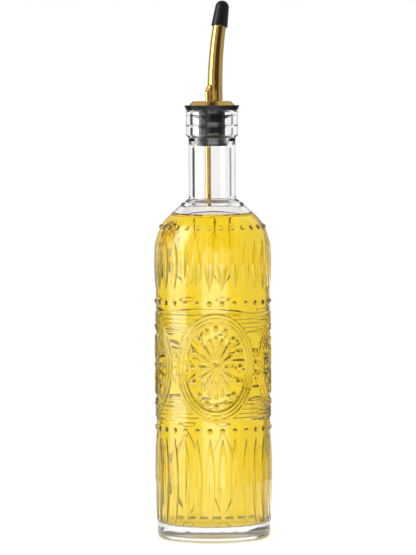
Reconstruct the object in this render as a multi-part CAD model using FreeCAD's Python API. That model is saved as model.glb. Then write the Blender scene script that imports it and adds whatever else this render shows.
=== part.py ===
"""Embossed oil bottle with a capped pourer, filled with olive oil. Millimetres, +Z up.

The origin is on the bottle's axis, in the plane of its foot. The pourer leans in the vertical plane that
stands at LEAN_AZIMUTH to +X. Each medallion faces a quarter of the compass, one of them -Y.
"""
import FreeCAD, Part
import math
import os
from FreeCAD import Vector

# ---- Bottle body ----
BODY_R = 32.5            # outside of the smooth wall
WALL = 3.2               # glass in the wall, the shoulder and the neck
BASE_THICKNESS = 8.4     # heavy glass under the oil
HEEL_R = 3.5             # rounding from the wall to the foot
FOOT_RING_W = 4.5        # width of the ring that the bottle stands on
PUNT_RISE = 1.6          # hollow under the base
INNER_CORNER_R = 6.0     # rounding where the wall meets the base inside

# ---- Shoulder and neck ----
SHOULDER_START_Z = 166.7
SHOULDER_R = 25.0        # radius of the shoulder's curve
CONE_ANGLE = 41.9        # slope of the cone above it, from the horizontal, in degrees
LEDGE_R = 18.0           # the cone's outside ends here, in a small step up to a ledge
LEDGE_H = 1.3            # height of that step
LEDGE_DRAFT = 0.6        # how far the step leans inwards
LEDGE_ANGLE = 28.0       # slope of the ledge, from the horizontal, in degrees
NECK_R = 13.4
NECK_FILLET_R = 2.0      # outside, where the ledge runs into the neck
THROAT_R = 7.7           # inside, where the cone runs into the neck
LIP_H = 15.9
LIP_CHAMFER = 1.5        # height of the slope under the lip
LIP_R = 14.8
LIP_ROUND_R = 1.2
BOTTLE_H = 245.0
BORE_R = 11.2            # bore of the lip, which the stopper's fins touch
BORE_L = 15.4            # depth of that bore
BORE_TAPER_H = 2.6       # height over which the bore narrows into the neck
PARTING_DROP = 8.6       # from the bottle's top to the fine groove round the lip
PARTING_DEPTH = 0.2
PARTING_W = 0.6

# ---- Oil ----
OIL_LEVEL_Z = 184.5

# ---- Embossed pattern ----
PETALS = 28              # petals and beads in one row round the bottle
MEDALLIONS = 4
BEAD_R = 1.65
BEAD_PROUD = 1.05        # how far a bead stands out of the wall
BEAD_ROWS_Z = (63.7, 135.8, 178.6)
RELIEF_ROOT = 1.2        # how deep a raised piece is rooted in the wall
PETAL_W = 5.8
PETAL_PROUD = 0.95
UPPER_PETAL_Z = (143.5, 171.6)
LOWER_PETAL_Z = (9.5, 59.5)
MEDALLION_Z = 99.7
OVAL_HALF_H = 29.6       # outermost ridge of the medallion
OVAL_HALF_W = 21.0
OVAL_RIDGES = 3
OVAL_PITCH = 1.9
OVAL_RIDGE_W = 0.9
OVAL_PROUD = 0.6
RING_BEADS = 16
RING_HALF_H = 22.2
RING_HALF_ARC = 14.2
RING_BEAD_R = 1.5
RING_BEAD_PROUD = 0.9
DAISY_PETALS = 16
DAISY_HALF_H = 17.3
DAISY_HALF_ARC = 10.1
DAISY_EYE_R = 4.6        # where the daisy's petals begin
DAISY_PETAL_R = 1.0      # of a petal's round outer end
DAISY_TIP_R = 0.55       # of its narrow inner end
BOSS_R = 3.3
BOSS_PROUD = 1.1
STRIPES = 5              # level ridges above and below, between the medallions
STRIPE_TOP_OFFSET = 29.1 # height of the outermost one over the medallion's centre
STRIPE_PITCH = 2.4
STRIPE_W = 0.7
STRIPE_PROUD = 0.4
STRIPE_GAP = 0.6         # free wall between a stripe and the outer oval
STAR_POINTS = 8          # small strokes of the star between two medallions
STAR_HALF_H = 7.5
STAR_HALF_ARC = 2.4
STAR_STROKE_L = 2.8
STAR_STROKE_W = 1.4
STAR_PROUD = 0.5
KNURLS = 84              # small bumps round the heel
KNURL_R = 1.0
KNURL_PROUD = 0.35

# ---- Stopper ----
FLANGE_R = 15.8
FLANGE_H = 2.6
FLANGE_UNDERCUT = 1.0    # how much smaller the flange is at its underside
PLUG_R = 7.6
PLUG_L = 20.6            # how far the plug reaches below the bottle's top
PLUG_RIM_R = 9.0
PLUG_RIM_H = 0.9
FIN_FIT = 0.0            # clearance between a fin's edge and the bore
FIN_EDGE_H = 0.5
FIN_CONE_H = 1.8
FIN_DROPS = (13.9, 8.4, 2.9)     # from the bottle's top to the top face of each fin

# ---- Pourer ----
LEAN_AZIMUTH = 45.0      # degrees from +X towards +Y
PLATE_H = 2.4
PLATE_R = 13.3
PLATE_TOP_R = 10.9
PLATE_CROWN_R = 1.2      # rounding of its upper edge
SPOUT_OFFSET = 2.75      # from the bottle's axis to the spout's, along the lean
SPOUT_BASE_R = 4.3
SPOUT_TIP_R = 3.8
SPOUT_WALL = 0.6
STEM_R = 3.5             # the spout's narrower end inside the stopper
SPOUT_STRAIGHT_H = 6.0   # upright part above the plate
SPOUT_BEND = 12.5        # turn of the bent part, in degrees
SPOUT_BEND_H = 36.5      # height that the bent part climbs
SPOUT_TIP_L = 11.5       # straight part inside the cap
SPOUT_STEPS = 6          # short cones that make the tapering bend
VENT_R = 1.55
VENT_BORE_R = 1.0
VENT_GAP = 0.1           # between the vent tube and the spout
VENT_BOTTOM_Z = 189.7
VENT_LOW_CUT = 2.0       # slant of its lower end
VENT_TOP_H = 9.6         # height of its upper tip over the plate, against the spout
VENT_MOUTH_H = 4.6       # height of the slanted mouth

# ---- Cap ----
CAP_L = 15.2
CAP_RIM_R = 4.7
CAP_SHOULDER_R = 3.95
CAP_FIT = 0.0            # clearance between the spout's tip and the cap
CAP_RIM_ROUND = 0.5
CAP_TIP_SPACE = 0.6      # free space over the spout's mouth

AXIS_Z = Vector(0, 0, 1)
ORIGIN = Vector(0, 0, 0)
LEAN = Vector(math.cos(math.radians(LEAN_AZIMUTH)), math.sin(math.radians(LEAN_AZIMUTH)), 0)


def line(a, b):
    return Part.LineSegment(Vector(a[0], 0, a[1]), Vector(b[0], 0, b[1])).toShape()


def arc(center, radius, start_deg, end_deg):
    """An arc in the (radius, height) plane. Returns the edge and its two end points."""
    ends = []
    for deg in (start_deg, (start_deg + end_deg) / 2, end_deg):
        turn = math.radians(deg)
        ends.append((center[0] + radius * math.cos(turn), center[1] + radius * math.sin(turn)))
    first, middle, last = ends
    edge = Part.Arc(*(Vector(r, 0, z) for r, z in ends)).toShape()
    return edge, first, last


def outline(steps):
    """Edges through the steps of a half section. Straight lines join steps, which are points or arcs."""
    edges = []
    here = None
    start = None
    for step in steps:
        if len(step) == 2:
            first = last = step
            edge = None
        else:
            edge, first, last = arc(*step)
        if here is None:
            start = first
        elif math.dist(here, first) > 1e-6:
            edges.append(line(here, first))
        if edge is not None:
            edges.append(edge)
        here = last
    if math.dist(here, start) > 1e-6:
        edges.append(line(here, start))
    return edges


def turned(steps):
    """The solid of revolution of a half section round the Z axis."""
    face = Part.Face(Part.Wire(Part.__sortEdges__(outline(steps))))
    return face.revolve(ORIGIN, AXIS_Z, 360)


def round_z(shape, deg):
    copy = shape.copy()
    copy.rotate(ORIGIN, AXIS_Z, deg)
    return copy


def pitch_angles(count, phase=0.0):
    return [360.0 * (n + phase) / count for n in range(count)]


# ---- Section of the bottle ----
# The cone is tangent to the shoulder's curve and to the fillet at the neck's foot.
CONE_TURN = 90.0 - CONE_ANGLE
SHOULDER_CENTER = (BODY_R - SHOULDER_R, SHOULDER_START_Z)


def cone_z(radius, offset):
    """Height of the cone at a radius, outside the glass (offset 0) or inside it (offset WALL)."""
    turn = math.radians(CONE_TURN)
    r_tangent = SHOULDER_CENTER[0] + (SHOULDER_R - offset) * math.cos(turn)
    z_tangent = SHOULDER_CENTER[1] + (SHOULDER_R - offset) * math.sin(turn)
    return z_tangent + (r_tangent - radius) * math.tan(math.radians(CONE_ANGLE))


def fillet_foot(corner_z, radius, turn_deg):
    """Height at which a fillet in the corner between a slope and the upright neck meets the neck."""
    return corner_z + radius * math.tan(math.radians(turn_deg / 2))


FOOT_R = BODY_R - HEEL_R
FOOT_INNER_R = FOOT_R - FOOT_RING_W
INNER_R = BODY_R - WALL
LIP_BOTTOM_Z = BOTTLE_H - LIP_H
PARTING_Z = BOTTLE_H - PARTING_DROP
BORE_BOTTOM_Z = BOTTLE_H - BORE_L
NECK_INNER_R = NECK_R - WALL
LEDGE_TOP_R = LEDGE_R - LEDGE_DRAFT
LEDGE_Z = cone_z(LEDGE_R, 0.0)
LEDGE_TURN = 90.0 - LEDGE_ANGLE
LEDGE_RISE = (LEDGE_TOP_R - NECK_R) * math.tan(math.radians(LEDGE_ANGLE))
NECK_FOOT_Z = fillet_foot(LEDGE_Z + LEDGE_H + LEDGE_RISE, NECK_FILLET_R, LEDGE_TURN)
THROAT_Z = fillet_foot(cone_z(NECK_INNER_R, WALL), THROAT_R, CONE_TURN)
THROAT_CENTER = (NECK_INNER_R + THROAT_R, THROAT_Z)


def wall_r(z):
    """Radius of the smooth outside at a height on the straight wall or on the shoulder's curve."""
    if z <= SHOULDER_START_Z:
        return BODY_R
    rise = z - SHOULDER_START_Z
    return SHOULDER_CENTER[0] + math.sqrt(SHOULDER_R ** 2 - rise ** 2)


def smooth_bottle():
    lip_top_r = LIP_R - LIP_ROUND_R
    punt_r = (FOOT_INNER_R ** 2 + PUNT_RISE ** 2) / (2 * PUNT_RISE)
    punt_turn = math.degrees(math.asin(FOOT_INNER_R / punt_r))
    outside = [
        ((0, PUNT_RISE - punt_r), punt_r, 90, 90 - punt_turn),
        (FOOT_R, 0),
        ((FOOT_R, HEEL_R), HEEL_R, -90, 0),
        (SHOULDER_CENTER, SHOULDER_R, 0, CONE_TURN),
        (LEDGE_R, LEDGE_Z),
        (LEDGE_TOP_R, LEDGE_Z + LEDGE_H),
        ((NECK_R + NECK_FILLET_R, NECK_FOOT_Z), NECK_FILLET_R, 180 + LEDGE_TURN, 180),
        (NECK_R, LIP_BOTTOM_Z),
        (LIP_R, LIP_BOTTOM_Z + LIP_CHAMFER),
        (LIP_R, PARTING_Z - PARTING_W / 2),
        (LIP_R - PARTING_DEPTH, PARTING_Z),
        (LIP_R, PARTING_Z + PARTING_W / 2),
        ((lip_top_r, BOTTLE_H - LIP_ROUND_R), LIP_ROUND_R, 0, 90),
    ]
    inside = [
        (BORE_R, BOTTLE_H),
        (BORE_R, BORE_BOTTOM_Z),
        (NECK_INNER_R, BORE_BOTTOM_Z - BORE_TAPER_H),
        (THROAT_CENTER, THROAT_R, 180, 180 + CONE_TURN),
        (SHOULDER_CENTER, SHOULDER_R - WALL, CONE_TURN, 0),
        ((INNER_R - INNER_CORNER_R, BASE_THICKNESS + INNER_CORNER_R), INNER_CORNER_R, 0, -90),
        (0, BASE_THICKNESS),
    ]
    return turned(outside + inside)


# ---- Raised pieces, each made with the wall's surface through the origin and -Y outwards ----
def bead(radius, proud):
    return Part.makeSphere(radius, Vector(0, radius - proud, 0))


def marquise(half_length, width, proud):
    """A long pointed petal with two flat facets that meet in a crest along its middle."""
    slope = math.atan(proud / (width / 2))
    crest = proud * math.cos(slope)
    facet_r = (half_length ** 2 + crest ** 2) / (2 * crest)
    petal = Part.makeBox(width, RELIEF_ROOT + 2 * proud, 2 * half_length,
                         Vector(-width / 2, -2 * proud, -half_length))
    for side in (-1, 1):
        along = Vector(side * math.cos(slope), math.sin(slope), 0)
        outward = Vector(side * math.sin(slope), -math.cos(slope), 0)
        center = outward * (crest - facet_r)
        facet = Part.makeCylinder(facet_r, 4 * width, center - along * (2 * width), along)
        petal = petal.common(facet)
    return petal


def teardrop(length, tip_r, end_r):
    """A slim petal lying along Z, centred on the origin, narrow below and round above."""
    middle_of_end = length / 2 - end_r
    body = Part.makeCone(tip_r, end_r, middle_of_end + length / 2, Vector(0, 0, -length / 2))
    return body.fuse(Part.makeSphere(end_r, Vector(0, 0, middle_of_end)))


def on_wall(shape, arc_length, z, tilt_deg=0.0):
    """A copy set on the wall, tilted in the wall's plane, at a distance round it from the front."""
    copy = shape.copy()
    copy.rotate(ORIGIN, Vector(0, 1, 0), tilt_deg)
    copy.translate(Vector(0, -wall_r(z), z))
    return round_z(copy, math.degrees(arc_length / BODY_R))


def oval_wire(half_w, half_h, y):
    """A four-arc oval in a plane of constant Y. Its offsets share the same four centres."""
    side_r = OVAL_SIDE_R - (OVAL_HALF_W - half_w)
    end_r = OVAL_END_R - (OVAL_HALF_W - half_w)
    side_x = OVAL_HALF_W - OVAL_SIDE_R
    end_z = OVAL_HALF_H - OVAL_END_R
    away = Vector(-side_x, 0, end_z)
    away.normalize()
    corner = Vector(side_x, 0, 0) + away * side_r
    corners = [Vector(sx * corner.x, y, sz * corner.z) for sx, sz in ((1, 1), (-1, 1), (-1, -1), (1, -1))]
    tip_z = end_z + end_r
    middles = [Vector(0, y, tip_z), Vector(-half_w, y, 0), Vector(0, y, -tip_z), Vector(half_w, y, 0)]
    edges = []
    for n in range(4):
        edges.append(Part.Arc(corners[n], middles[n], corners[(n + 1) % 4]).toShape())
    return Part.Wire(edges)


# The four arcs are tangent where the line through their centres meets them.
OVAL_END_R = 0.8 * OVAL_HALF_W ** 2 / OVAL_HALF_H
OVAL_DROP = OVAL_HALF_H - OVAL_END_R
OVAL_SIDE_R = (OVAL_DROP ** 2 + OVAL_HALF_W ** 2 - OVAL_END_R ** 2) / (2 * (OVAL_HALF_W - OVAL_END_R))


def oval_prism(inset):
    wire = oval_wire(OVAL_HALF_W - inset, OVAL_HALF_H - inset, -2 * BODY_R)
    prism = Part.Face(wire).extrude(Vector(0, 2 * BODY_R, 0))
    prism.translate(Vector(0, 0, MEDALLION_Z))
    return prism


def oval_ridges():
    height = 2 * OVAL_HALF_H + 4 * OVAL_PITCH
    base = Vector(0, 0, MEDALLION_Z - height / 2)
    shell = Part.makeCylinder(BODY_R + OVAL_PROUD, height, base)
    shell = shell.cut(Part.makeCylinder(BODY_R - RELIEF_ROOT, height, base))
    ridges = []
    for n in range(OVAL_RIDGES):
        inset = n * OVAL_PITCH
        ring = oval_prism(inset).cut(oval_prism(inset + OVAL_RIDGE_W))
        ridges.append(ring.common(shell))
    return ridges


def medallion():
    pieces = oval_ridges()
    ring_bead = bead(RING_BEAD_R, RING_BEAD_PROUD)
    for deg in pitch_angles(RING_BEADS):
        turn = math.radians(deg)
        z = MEDALLION_Z + RING_HALF_H * math.cos(turn)
        pieces.append(on_wall(ring_bead, RING_HALF_ARC * math.sin(turn), z))
    for deg in pitch_angles(DAISY_PETALS):
        turn = math.radians(deg)
        reach = math.hypot(DAISY_HALF_ARC * math.sin(turn), DAISY_HALF_H * math.cos(turn))
        tilt = math.atan2(DAISY_HALF_ARC * math.sin(turn), DAISY_HALF_H * math.cos(turn))
        middle = (reach + DAISY_EYE_R) / 2
        petal = teardrop(reach - DAISY_EYE_R, DAISY_TIP_R, DAISY_PETAL_R)
        pieces.append(on_wall(petal, middle * math.sin(tilt), MEDALLION_Z + middle * math.cos(tilt),
                              math.degrees(tilt)))
    boss_sphere_r = (BOSS_R ** 2 + BOSS_PROUD ** 2) / (2 * BOSS_PROUD)
    boss_depth = RELIEF_ROOT + 2 * BOSS_PROUD
    boss_foot = Part.makeCylinder(BOSS_R, boss_depth, Vector(0, RELIEF_ROOT, 0), Vector(0, -1, 0))
    boss = bead(boss_sphere_r, BOSS_PROUD).common(boss_foot)
    pieces.append(on_wall(boss, 0.0, MEDALLION_Z))
    return pieces


def star():
    """Short strokes set round a small upright diamond between two medallions."""
    stroke = marquise(STAR_STROKE_L / 2, STAR_STROKE_W, STAR_PROUD)
    middle_arc = BODY_R * math.pi / MEDALLIONS
    pieces = []
    for deg in pitch_angles(STAR_POINTS):
        turn = math.radians(deg)
        along = STAR_HALF_ARC * math.sin(turn)
        up = STAR_HALF_H * math.cos(turn)
        tilt = math.degrees(math.atan2(along, up))
        pieces.append(on_wall(stroke, middle_arc + along, MEDALLION_Z + up, tilt))
    return pieces


def stripes():
    """Level ridges round the wall, which stop short of the medallions' outer ovals."""
    ovals = [round_z(oval_prism(-STRIPE_GAP), deg) for deg in pitch_angles(MEDALLIONS)]
    rings = []
    for n in range(STRIPES):
        for side in (-1, 1):
            z = MEDALLION_Z + side * (STRIPE_TOP_OFFSET - n * STRIPE_PITCH) - STRIPE_W / 2
            ring = Part.makeCylinder(BODY_R + STRIPE_PROUD, STRIPE_W, Vector(0, 0, z))
            ring = ring.cut(Part.makeCylinder(BODY_R - RELIEF_ROOT, STRIPE_W, Vector(0, 0, z)))
            rings.extend(ring.cut(Part.makeCompound(ovals)).Solids)
    return rings


def knurls():
    turn = math.radians(-45)
    r = FOOT_R + (HEEL_R - KNURL_R + KNURL_PROUD) * math.cos(turn)
    z = HEEL_R + (HEEL_R - KNURL_R + KNURL_PROUD) * math.sin(turn)
    bump = Part.makeSphere(KNURL_R, Vector(0, -r, z))
    return [round_z(bump, deg) for deg in pitch_angles(KNURLS)]


def relief():
    """Every raised piece of the pattern, none of which touches another row's."""
    pieces = []
    row = [on_wall(bead(BEAD_R, BEAD_PROUD), 0.0, z) for z in BEAD_ROWS_Z]
    for low, high in (UPPER_PETAL_Z, LOWER_PETAL_Z):
        row.append(on_wall(marquise((high - low) / 2, PETAL_W, PETAL_PROUD), 0.0, (high + low) / 2))
    for deg in pitch_angles(PETALS, 0.5):
        pieces += [round_z(piece, deg) for piece in row]
    quarter = medallion() + star()
    for deg in pitch_angles(MEDALLIONS):
        pieces += [round_z(piece, deg) for piece in quarter]
    return pieces + stripes() + knurls()


def bottle():
    return smooth_bottle().fuse(relief())


def oil():
    """The oil fills the glass face to face, up to its level."""
    level_r = cone_r_inside(OIL_LEVEL_Z)
    return turned([
        (0, BASE_THICKNESS),
        ((INNER_R - INNER_CORNER_R, BASE_THICKNESS + INNER_CORNER_R), INNER_CORNER_R, -90, 0),
        (SHOULDER_CENTER, SHOULDER_R - WALL, 0, CONE_TURN),
        (level_r, OIL_LEVEL_Z),
        (0, OIL_LEVEL_Z),
    ])


def cone_r_inside(z):
    """Radius of the glass's inside at a height on the cone."""
    turn = math.radians(CONE_TURN)
    r_tangent = SHOULDER_CENTER[0] + (SHOULDER_R - WALL) * math.cos(turn)
    z_tangent = SHOULDER_CENTER[1] + (SHOULDER_R - WALL) * math.sin(turn)
    return r_tangent - (z - z_tangent) / math.tan(math.radians(CONE_ANGLE))


# ---- Pourer: places that the stopper, the plate and the tubes share ----
PLUG_BOTTOM_Z = BOTTLE_H - PLUG_L
FLANGE_TOP_Z = BOTTLE_H + FLANGE_H
PLATE_TOP_Z = FLANGE_TOP_Z + PLATE_H
VENT_TOP_Z = PLATE_TOP_Z + VENT_TOP_H
VENT_OFFSET = SPOUT_OFFSET - SPOUT_BASE_R - VENT_R - VENT_GAP


def upright(radius, low, high, offset):
    """An upright round bar at an offset from the bottle's axis along the lean."""
    return Part.makeCylinder(radius, high - low, LEAN * offset + Vector(0, 0, low))


def stopper():
    fin_r = BORE_R - FIN_FIT
    steps = [(0, PLUG_BOTTOM_Z), (PLUG_RIM_R, PLUG_BOTTOM_Z), (PLUG_RIM_R, PLUG_BOTTOM_Z + PLUG_RIM_H),
             (PLUG_R, PLUG_BOTTOM_Z + 2 * PLUG_RIM_H)]
    for drop in FIN_DROPS:
        z = BOTTLE_H - drop
        steps += [(PLUG_R, z - FIN_EDGE_H - FIN_CONE_H), (fin_r, z - FIN_EDGE_H), (fin_r, z), (PLUG_R, z)]
    steps += [(PLUG_R, BOTTLE_H), (FLANGE_R - FLANGE_UNDERCUT, BOTTLE_H), (FLANGE_R, FLANGE_TOP_Z),
              (0, FLANGE_TOP_Z)]
    body = turned(steps)
    body = body.cut(upright(STEM_R, PLUG_BOTTOM_Z, FLANGE_TOP_Z, SPOUT_OFFSET))
    return body.cut(upright(VENT_R, PLUG_BOTTOM_Z, FLANGE_TOP_Z, VENT_OFFSET))


def spout_plate():
    """The dished metal plate on the stopper's flange, with a hole for each tube."""
    side = math.degrees(math.atan2(PLATE_H, PLATE_R - PLATE_TOP_R))
    crown_inset = PLATE_CROWN_R * math.tan(math.radians(side / 2))
    plate = turned([
        (0, FLANGE_TOP_Z),
        (PLATE_R, FLANGE_TOP_Z),
        ((PLATE_TOP_R - crown_inset, PLATE_TOP_Z - PLATE_CROWN_R), PLATE_CROWN_R, 90 - side, 90),
        (0, PLATE_TOP_Z),
    ])
    plate = plate.cut(upright(SPOUT_BASE_R, FLANGE_TOP_Z, PLATE_TOP_Z, SPOUT_OFFSET))
    return plate.cut(upright(VENT_R, FLANGE_TOP_Z, PLATE_TOP_Z, VENT_OFFSET))


def spout_path():
    """Points of the spout's centre line from the flange to its mouth, with the direction at each."""
    bend = math.radians(SPOUT_BEND)
    bend_r = SPOUT_BEND_H / math.sin(bend)
    start = LEAN * SPOUT_OFFSET + Vector(0, 0, PLATE_TOP_Z + SPOUT_STRAIGHT_H)
    stations = [(LEAN * SPOUT_OFFSET + Vector(0, 0, FLANGE_TOP_Z), AXIS_Z), (start, AXIS_Z)]
    for n in range(1, SPOUT_STEPS + 1):
        turn = bend * n / SPOUT_STEPS
        point = start + LEAN * (bend_r * (1 - math.cos(turn))) + Vector(0, 0, bend_r * math.sin(turn))
        stations.append((point, LEAN * math.sin(turn) + AXIS_Z * math.cos(turn)))
    return stations


def spout_skin(inset):
    """The tapering bent tube's outside (inset 0) or its bore (inset SPOUT_WALL), which leaves a floor."""
    stations = spout_path()
    wires = []
    for n, (point, direction) in enumerate(stations):
        taper = max(0.0, (n - 1) / SPOUT_STEPS)
        radius = SPOUT_BASE_R + (SPOUT_TIP_R - SPOUT_BASE_R) * taper - inset
        wires.append(Part.Wire(Part.Circle(point, direction, radius).toShape()))
    skin = Part.makeLoft(wires[1:], True)
    foot = upright(SPOUT_BASE_R - inset, FLANGE_TOP_Z + inset, stations[1][0].z, SPOUT_OFFSET)
    tip_point, tip_direction = stations[-1]
    tip = Part.makeCylinder(SPOUT_TIP_R - inset, SPOUT_TIP_L, tip_point, tip_direction)
    return foot.fuse([skin, tip])


def spout():
    body = spout_skin(0.0).fuse(upright(STEM_R, PLUG_BOTTOM_Z, FLANGE_TOP_Z, SPOUT_OFFSET))
    body = body.cut(spout_skin(SPOUT_WALL))
    return body.cut(upright(STEM_R - SPOUT_WALL, PLUG_BOTTOM_Z, FLANGE_TOP_Z + SPOUT_WALL, SPOUT_OFFSET))


def slanted_block(low_z, rise, upward):
    """A block whose one face climbs towards the lean by rise over the vent tube's width."""
    reach = 4 * VENT_R
    half = LEAN * reach
    step = Vector(0, 0, rise * reach / (2 * VENT_R))
    across = Vector(-LEAN.y, LEAN.x, 0) * reach
    middle = LEAN * VENT_OFFSET + Vector(0, 0, low_z + rise / 2)
    corners = [middle - half - step - across, middle + half + step - across,
               middle + half + step + across, middle - half - step + across]
    face = Part.Face(Part.makePolygon(corners + corners[:1]))
    return face.extrude(Vector(0, 0, 4 * reach if upward else -4 * reach))


def vent_tube():
    tube = upright(VENT_R, VENT_BOTTOM_Z, VENT_TOP_Z, VENT_OFFSET)
    tube = tube.cut(upright(VENT_BORE_R, VENT_BOTTOM_Z, VENT_TOP_Z, VENT_OFFSET))
    tube = tube.cut(slanted_block(VENT_TOP_Z - VENT_MOUTH_H, VENT_MOUTH_H, True))
    return tube.cut(slanted_block(VENT_BOTTOM_Z, VENT_LOW_CUT, False))


def cap():
    """The rubber cap over the spout's tip: a tapering sleeve with a domed end."""
    dome_z = CAP_L - CAP_SHOULDER_R
    bore_r = SPOUT_TIP_R + CAP_FIT
    body = turned([
        (bore_r, 0),
        ((CAP_RIM_R - CAP_RIM_ROUND, CAP_RIM_ROUND), CAP_RIM_ROUND, -90, 0),
        ((0, dome_z), CAP_SHOULDER_R, 0, 90),
        (0, SPOUT_TIP_L + CAP_TIP_SPACE),
        (bore_r, SPOUT_TIP_L + CAP_TIP_SPACE),
    ])
    tip_point, tip_direction = spout_path()[-1]
    body.Placement = FreeCAD.Placement(tip_point, FreeCAD.Rotation(AXIS_Z, tip_direction))
    return body


PIECES = {
    "bottle": bottle,
    "oil": oil,
    "stopper": stopper,
    "spout_plate": spout_plate,
    "spout": spout,
    "vent_tube": vent_tube,
    "cap": cap,
}

os.makedirs("parts", exist_ok=True)
for name, make in PIECES.items():
    shape = make()
    print(name, "solids", len(shape.Solids), "valid", shape.isValid(), "volume", round(shape.Volume, 1))
    shape.exportStep(f"parts/{name}.step")
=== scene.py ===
"""Looks of an embossed bottle of olive oil with a capped pourer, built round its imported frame.

The frame is in metres, +Z up, with its origin on the bottle's axis in the plane of its foot. Lengths of the
bottle's outline and pattern are in millimetres, and MM turns them into metres.
"""
import math

import bpy
import numpy as np
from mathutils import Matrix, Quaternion, Vector


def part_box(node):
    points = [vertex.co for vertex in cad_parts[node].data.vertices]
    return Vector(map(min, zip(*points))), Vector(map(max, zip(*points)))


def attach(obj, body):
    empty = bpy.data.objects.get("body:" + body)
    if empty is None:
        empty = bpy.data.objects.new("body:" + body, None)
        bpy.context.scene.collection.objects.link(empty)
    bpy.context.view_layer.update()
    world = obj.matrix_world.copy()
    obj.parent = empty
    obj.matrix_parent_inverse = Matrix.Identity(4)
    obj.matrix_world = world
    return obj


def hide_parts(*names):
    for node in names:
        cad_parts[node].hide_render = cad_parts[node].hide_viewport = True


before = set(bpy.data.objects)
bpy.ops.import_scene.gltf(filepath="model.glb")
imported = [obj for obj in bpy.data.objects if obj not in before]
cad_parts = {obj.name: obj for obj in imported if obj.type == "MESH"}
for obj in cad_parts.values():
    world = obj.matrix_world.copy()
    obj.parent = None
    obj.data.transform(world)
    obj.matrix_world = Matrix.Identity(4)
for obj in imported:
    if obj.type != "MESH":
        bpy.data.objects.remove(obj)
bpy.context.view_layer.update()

MM = 0.001

# ---- Bottle outline, mm ----
BODY_R = 32.5
WALL = 3.2
BASE_THICKNESS = 8.4
FOOT_R = 29.0
FOOT_INNER_R = 24.5
PUNT_RISE = 1.6
INNER_CORNER_R = 6.0
SHOULDER_START_Z = 166.7
SHOULDER_R = 25.0
CONE_ANGLE = math.radians(41.9)
LEDGE_R = 18.0
LEDGE_H = 1.3
LEDGE_DRAFT = 0.6
LEDGE_ANGLE = math.radians(28.0)
NECK_R = 13.4
NECK_FILLET_R = 2.0
THROAT_R = 7.7
LIP_BOTTOM_Z = 229.1
LIP_CHAMFER = 1.5
LIP_R = 14.8
LIP_ROUND_R = 1.2
BOTTLE_H = 245.0
BORE_R = 11.2
BORE_BOTTOM_Z = 229.6
BORE_TAPER_H = 2.6
PARTING_Z = 236.4
PARTING_DEPTH = 0.2
PARTING_W = 0.6

# ---- Pattern, mm ----
PETALS = 28
MEDALLIONS = 4
BEAD_R = 1.65
BEAD_PROUD = 1.04
BEAD_ROWS_Z = (63.7, 135.8, 178.6)
PETAL_W = 5.8
PETAL_PROUD = 1.0
UPPER_PETAL_Z = (143.5, 171.6)
LOWER_PETAL_Z = (9.5, 59.5)
MEDALLION_Z = 99.7
OVAL_HALF_H = 29.6
OVAL_HALF_ARC = 22.8
OVAL_RIDGES = 3
OVAL_PITCH = 2.0
OVAL_RIDGE_W = 1.5
OVAL_PROUD = 0.8
RING_BEADS = 16
RING_HALF_H = 22.2
RING_HALF_ARC = 14.2
RING_BEAD_R = 1.5
RING_BEAD_PROUD = 1.04
DAISY_PETALS = 16
DAISY_HALF_H = 17.3
DAISY_HALF_ARC = 10.1
DAISY_EYE_R = 4.6
DAISY_PROUD = 0.9
DAISY_EYE_HALF_W = 0.35      # half the width of a petal at the eye
DAISY_SPREAD = 0.75          # and what it gains towards the tip
DAISY_ROUND = 1.1            # length of the round end of a petal
BOSS_R = 3.3
BOSS_PROUD = 1.0
BOSS_GROOVE_R = 0.62 * BOSS_R
BOSS_GROOVE_W = 0.35
BOSS_GROOVE_DEPTH = 0.45
STRIPES = 5
STRIPE_TOP_OFFSET = 29.1
STRIPE_PITCH = 2.4
STRIPE_W = 1.3
STRIPE_PROUD = 0.5
STAR_POINTS = 8
STAR_HALF_H = 7.5
STAR_HALF_ARC = 2.4
STAR_STROKE_L = 2.8
STAR_STROKE_W = 1.4
STAR_PROUD = 0.7
KNURLS = 84
KNURL_PROUD = 0.3
FOOT_STIPPLE_Z = 2.0     # the underside is stippled below this height

# ---- Grid of the glass ----
PETAL_COLUMNS = 14       # from one petal to the next
SMOOTH_COLUMNS = 112     # round the plain neck, the inside and the base
MEDALLION_LEVELS = 84    # between the two lower rows of beads
SMOOTH_ANGLES = np.arange(SMOOTH_COLUMNS) * (2 * math.pi / SMOOTH_COLUMNS)
OIL_SEAT = 0.12          # how far the oil reaches into the glass, so that no air gap shows, mm
OIL_DROP = 0.05          # how far its surface is drawn below its level in the frame, mm
OIL_CREEP = 0.3          # how far it creeps up the glass, mm

# ---- Camera ----
CAMERA_DISTANCE = 2.0
CAMERA_EYE_Z = 0.262
CAMERA_AZIMUTH = math.radians(-2.9)
CAMERA_ROLL = math.radians(-0.3)
AIM = Vector((-0.0027, 0.0, 0.1491))
LENS_MM = 226.84
CLIP = (0.05, 50.0)

# ---- White card behind the shoulder, m ----
CARD_Y = 0.08
CARD_HALF_W = 0.06
CARD_Z = (0.118, 0.2)

# ---- Lamps: where they point, m ----
LAMP_AIM = Vector((0, 0, 0.12))

# ---- Floor, m ----
FLOOR_R = 0.3
FLOOR_SIDES = 96
FLOOR_Z = -0.0002
FLOOR_SEEN_R = (0.05, 0.08)
FLOOR_GLOW = 0.3
FLOOR_SEEN_COLOUR = (0.84, 0.84, 0.88, 1.0)

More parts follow.
